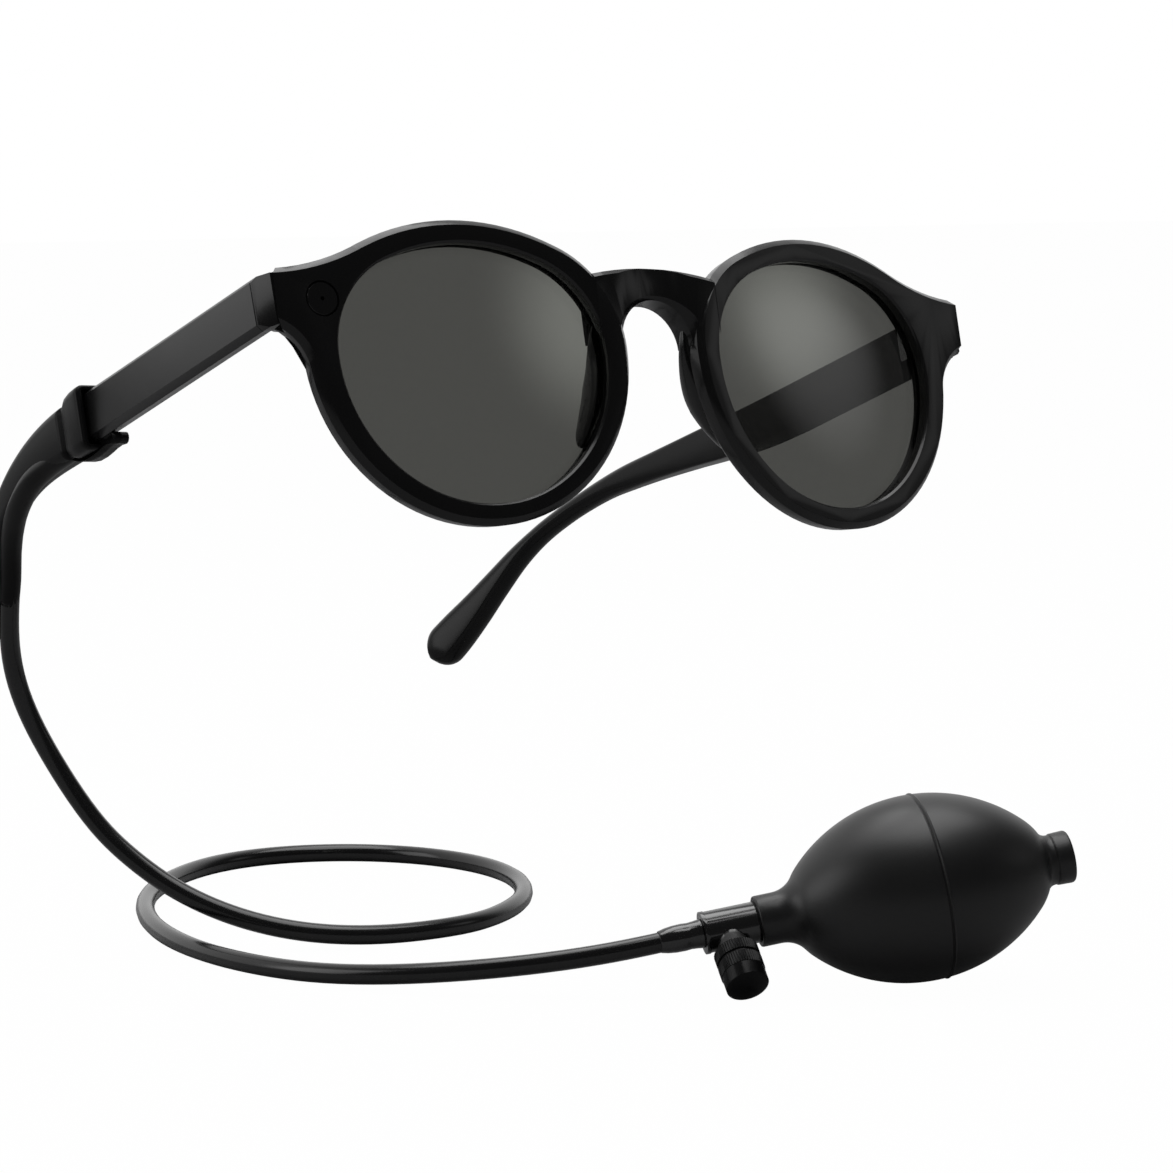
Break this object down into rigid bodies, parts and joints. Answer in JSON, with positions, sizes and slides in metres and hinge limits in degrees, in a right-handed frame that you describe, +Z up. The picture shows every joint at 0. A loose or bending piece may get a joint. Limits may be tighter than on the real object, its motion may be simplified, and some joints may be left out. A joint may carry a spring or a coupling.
{
  "type": "water squirting prank glasses",
  "caption": "Round sunglasses with a water nozzle in the front, a hose behind the ear and a squeeze bulb with a release valve.",
  "frame": {"origin": "the nose rest, midway between the two nose pads in the plane of the front", "axes": "the glasses as a tilted head holds them: +Z up, -Y towards what the wearer looks at, +X towards the wearer's left; the temples run back along +Y and down"},
  "size_m": [0.1475, 0.1902, 0.1313],
  "materials": {
    "frame_plastic": "smooth moulded black plastic, low gloss",
    "temple_plastic": "smooth moulded black plastic",
    "lens_tint": "dark neutral grey tinted acrylic, clear",
    "boot_rubber": "soft black moulding, satin",
    "hose_rubber": "glossy black flexible tube",
    "bulb_rubber": "satin black rubber",
    "valve_plastic": "gloss black plastic",
    "knob_plastic": "satin black plastic with fine knurls",
    "hinge_metal": "plain steel",
    "tube_metal": "drawn steel tube",
    "brass": "turned brass"
  },
  "bodies": {
    "front": {"front_frame": "frame_plastic", "lens_right": "lens_tint", "lens_left": "lens_tint", "nozzle_cap": "frame_plastic", "nozzle_jet": "brass", "water_elbow": "tube_metal", "hinge_leaf_front_right": "hinge_metal", "hinge_leaf_front_left": "hinge_metal", "hinge_screw_right": "hinge_metal", "hinge_screw_left": "hinge_metal"},
    "right_temple": {"temple_right": "temple_plastic", "hinge_leaf_temple_right": "hinge_metal", "water_tube": "tube_metal", "hose_boot": "boot_rubber", "hose": "hose_rubber", "hose_ferrule": "hose_rubber", "valve_body": "valve_plastic", "bulb": "bulb_rubber", "inlet_plug": "valve_plastic"},
    "left_temple": {"temple_left": "temple_plastic", "hinge_leaf_temple_left": "hinge_metal"},
    "stem": {"valve_stem": "brass"},
    "knob": {"release_knob": "knob_plastic"},
    "outlet": {"outlet_ball": "hinge_metal"},
    "inlet": {"inlet_ball": "hinge_metal"}
  },
  "joints": [
    {"name": "hinge_right", "type": "hinge", "parent": "front", "child": "right_temple", "pos_m": [-0.06668, 0.01158, 0.01221], "axis": [-0.0584, -0.2924, -0.9545], "range_deg": [0, 86]},
    {"name": "hinge_left", "type": "hinge", "parent": "front", "child": "left_temple", "pos_m": [0.06767, 0.01158, 0.004], "axis": [0.0584, 0.2924, 0.9545], "range_deg": [0, 78]},
    {"name": "stem_lift", "type": "slide", "parent": "right_temple", "child": "stem", "axis": [-0.2355, -0.7374, -0.633], "range_m": [0, 0.00105]},
    {"name": "knob_turn", "type": "hinge", "parent": "stem", "child": "knob", "pos_m": [0.01559, 0.00086, -0.09477], "axis": [-0.2355, -0.7374, -0.633], "range_deg": [0, 540]},
    {"name": "outlet_ball_lift", "type": "slide", "parent": "right_temple", "child": "outlet", "axis": [0.8851, -0.4317, 0.1736], "range_m": [0, 0.0008]},
    {"name": "inlet_ball_lift", "type": "slide", "parent": "right_temple", "child": "inlet", "axis": [0.8851, -0.4317, 0.1736], "range_m": [0, 0.0008]}
  ],
  "couplings": [
    {"joint": "knob_turn", "follows": "stem_lift", "rad_per_m": 8976}
  ]
}
